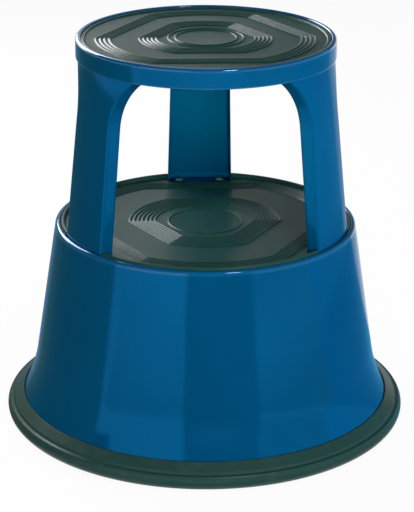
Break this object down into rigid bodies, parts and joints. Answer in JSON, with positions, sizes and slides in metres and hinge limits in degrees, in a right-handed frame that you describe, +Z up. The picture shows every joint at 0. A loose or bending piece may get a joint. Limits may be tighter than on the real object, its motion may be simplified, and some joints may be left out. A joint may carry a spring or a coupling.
{
  "type": "rolling step stool",
  "caption": "Round steel step stool: conical drum with rubber bumper, channel legs, capped top, ribbed rubber treads, and sprung castors that sink under load.",
  "frame": {"origin": "on the floor under the stool's centre, with the wheels on the floor and nobody on the stool", "axes": "+Z up; +Y towards the back leg; +X towards the right as the picture sees it"},
  "size_m": [0.4414, 0.4414, 0.428],
  "materials": {
    "blue_paint": "gloss stove enamel",
    "bumper_rubber": "satin moulded rubber",
    "mat_rubber": "fine-grained matt rubber with ribs",
    "zinc_steel": "zinc plated",
    "spring_steel": "oiled spring steel",
    "nylon": "natural nylon",
    "wheel_plastic": "moulded",
    "tyre_rubber": "matt grey tread"
  },
  "bodies": {
    "stool": {"lower_drum": "blue_paint", "lower_deck": "blue_paint", "lower_tread_mat": "mat_rubber", "top_cap": "blue_paint", "top_tread_mat": "mat_rubber", "bumper_ring": "bumper_rubber", "leg_back": "blue_paint", "foot_rivet_back_a": "zinc_steel", "foot_rivet_back_b": "zinc_steel", "castor_bracket_back": "zinc_steel", "lower_bush_back": "nylon", "upper_bush_back": "nylon", "castor_spring_back": "spring_steel", "leg_left": "blue_paint", "foot_rivet_left_a": "zinc_steel", "foot_rivet_left_b": "zinc_steel", "castor_bracket_left": "zinc_steel", "lower_bush_left": "nylon", "upper_bush_left": "nylon", "castor_spring_left": "spring_steel", "leg_right": "blue_paint", "foot_rivet_right_a": "zinc_steel", "foot_rivet_right_b": "zinc_steel", "castor_bracket_right": "zinc_steel", "lower_bush_right": "nylon", "upper_bush_right": "nylon", "castor_spring_right": "spring_steel"},
    "stem_back": {"castor_stem_back": "zinc_steel"},
    "fork_back": {"castor_fork_back": "zinc_steel", "wheel_axle_back": "zinc_steel", "swivel_washer_back": "zinc_steel"},
    "wheel_back": {"wheel_core_back": "wheel_plastic", "wheel_tyre_back": "tyre_rubber"},
    "stem_left": {"castor_stem_left": "zinc_steel"},
    "fork_left": {"castor_fork_left": "zinc_steel", "wheel_axle_left": "zinc_steel", "swivel_washer_left": "zinc_steel"},
    "wheel_left": {"wheel_core_left": "wheel_plastic", "wheel_tyre_left": "tyre_rubber"},
    "stem_right": {"castor_stem_right": "zinc_steel"},
    "fork_right": {"castor_fork_right": "zinc_steel", "wheel_axle_right": "zinc_steel", "swivel_washer_right": "zinc_steel"},
    "wheel_right": {"wheel_core_right": "wheel_plastic", "wheel_tyre_right": "tyre_rubber"}
  },
  "joints": [
    {"name": "castor_slide_back", "type": "slide", "parent": "stool", "child": "stem_back", "axis": [0, 0, 1], "range_m": [0, 0.006], "stiffness_N_per_m": 4000, "springref_m": -0.012, "deforming": ["castor_spring_back"]},
    {"name": "castor_swivel_back", "type": "hinge", "parent": "stem_back", "child": "fork_back", "pos_m": [0, 0.14, 0.045], "axis": [0, 0, 1], "continuous": true},
    {"name": "wheel_spin_back", "type": "hinge", "parent": "fork_back", "child": "wheel_back", "pos_m": [-0.015, 0.14, 0.02], "axis": [0, 1, 0], "continuous": true},
    {"name": "castor_slide_left", "type": "slide", "parent": "stool", "child": "stem_left", "axis": [0, 0, 1], "range_m": [0, 0.006], "stiffness_N_per_m": 4000, "springref_m": -0.012, "deforming": ["castor_spring_left"]},
    {"name": "castor_swivel_left", "type": "hinge", "parent": "stem_left", "child": "fork_left", "pos_m": [-0.12124, -0.07, 0.045], "axis": [0, 0, 1], "continuous": true},
    {"name": "wheel_spin_left", "type": "hinge", "parent": "fork_left", "child": "wheel_left", "pos_m": [-0.11374, -0.08299, 0.02], "axis": [-0.866, -0.5, 0], "continuous": true},
    {"name": "castor_slide_right", "type": "slide", "parent": "stool", "child": "stem_right", "axis": [0, 0, 1], "range_m": [0, 0.006], "stiffness_N_per_m": 4000, "springref_m": -0.012, "deforming": ["castor_spring_right"]},
    {"name": "castor_swivel_right", "type": "hinge", "parent": "stem_right", "child": "fork_right", "pos_m": [0.12124, -0.07, 0.045], "axis": [0, 0, 1], "continuous": true},
    {"name": "wheel_spin_right", "type": "hinge", "parent": "fork_right", "child": "wheel_right", "pos_m": [0.12874, -0.05701, 0.02], "axis": [0.866, -0.5, 0], "continuous": true}
  ]
}
